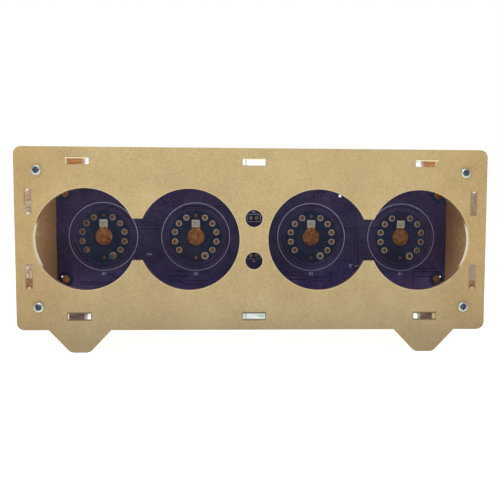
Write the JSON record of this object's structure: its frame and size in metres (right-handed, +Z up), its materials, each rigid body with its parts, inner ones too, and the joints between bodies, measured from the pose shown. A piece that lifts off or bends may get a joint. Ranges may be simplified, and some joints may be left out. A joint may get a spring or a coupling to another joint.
{
  "type": "nixie tube clock",
  "caption": "Low desk clock case of paper-masked clear sheet with round digit windows, trapezoid feet, a purple circuit board with bare tube footprints and rear push buttons.",
  "frame": {"origin": "bottom centre of the bounding box: the middle of the case, in the plane of the soles of the four feet", "axes": "+X to the right seen from the front, +Y from the front panel to the back panel, +Z up"},
  "size_m": [0.1844, 0.0488, 0.0801],
  "materials": {
    "acrylic": "clear acrylic sheet with laser-cut edges",
    "paper": "brown kraft masking paper, matt and finely mottled",
    "brass": "turned hexagonal brass",
    "zinc_steel": "bright zinc plate",
    "solder_mask": "dark purple solder mask over glass fibre board",
    "tinned_copper": "tinned copper",
    "white_plastic": "white moulded plastic",
    "lens_gel": "clear cast resin, slightly yellow",
    "black_plastic": "black moulded plastic",
    "spring_steel": "pressed plated steel",
    "button_plastic": "black moulded plastic",
    "chip_epoxy": "black moulded epoxy",
    "cell_steel": "bright steel",
    "ferrite": "sintered ferrite",
    "can_aluminium": "drawn aluminium",
    "ceramic": "tan ceramic"
  },
  "bodies": {
    "case": {"front_panel": "acrylic", "front_panel_paper": "paper", "back_panel": "acrylic", "back_panel_paper": "paper", "top_panel": "acrylic", "top_panel_paper": "paper", "bottom_panel": "acrylic", "bottom_panel_paper": "paper", "left_panel": "acrylic", "left_panel_paper": "paper", "right_panel": "acrylic", "right_panel_paper": "paper", "case_pillars": "brass", "front_screws": "zinc_steel", "rear_screws": "zinc_steel", "circuit_board": "solder_mask", "tube_pin_eyelets": "tinned_copper", "lamp_lead_eyelets": "tinned_copper", "backlight_diodes": "white_plastic", "backlight_lenses": "lens_gel", "backlight_leads": "tinned_copper", "switch_housings": "black_plastic", "switch_domes": "spring_steel", "switch_covers": "spring_steel", "switch_legs": "tinned_copper", "power_socket_shell": "spring_steel", "power_socket_tongue": "black_plastic", "digit_driver_chips": "chip_epoxy", "digit_driver_leads": "tinned_copper", "controller_chip": "chip_epoxy", "controller_leads": "tinned_copper", "clock_chip": "chip_epoxy", "clock_chip_leads": "tinned_copper", "clock_crystal": "spring_steel", "coin_cell": "cell_steel", "coin_cell_base": "black_plastic", "coin_cell_clip": "spring_steel", "inductor_drum": "ferrite", "inductor_frame": "ferrite", "switching_transistor": "chip_epoxy", "switching_transistor_tab": "tinned_copper", "rectifier": "chip_epoxy", "rectifier_leads": "tinned_copper", "can_capacitors": "can_aluminium", "can_capacitor_bases": "black_plastic", "ceramic_capacitors": "ceramic", "voltage_regulator": "chip_epoxy", "voltage_regulator_leads": "tinned_copper", "resistors": "chip_epoxy", "resistor_ends": "tinned_copper"},
    "up_button": {"up_button": "button_plastic"},
    "set_button": {"set_button": "button_plastic"},
    "down_button": {"down_button": "button_plastic"}
  },
  "joints": [
    {"name": "up_press", "type": "slide", "parent": "case", "child": "up_button", "axis": [0, -1, 0], "range_m": [0, 0.00025], "stiffness_N_per_m": 1600},
    {"name": "set_press", "type": "slide", "parent": "case", "child": "set_button", "axis": [0, -1, 0], "range_m": [0, 0.00025], "stiffness_N_per_m": 1600},
    {"name": "down_press", "type": "slide", "parent": "case", "child": "down_button", "axis": [0, -1, 0], "range_m": [0, 0.00025], "stiffness_N_per_m": 1600}
  ]
}
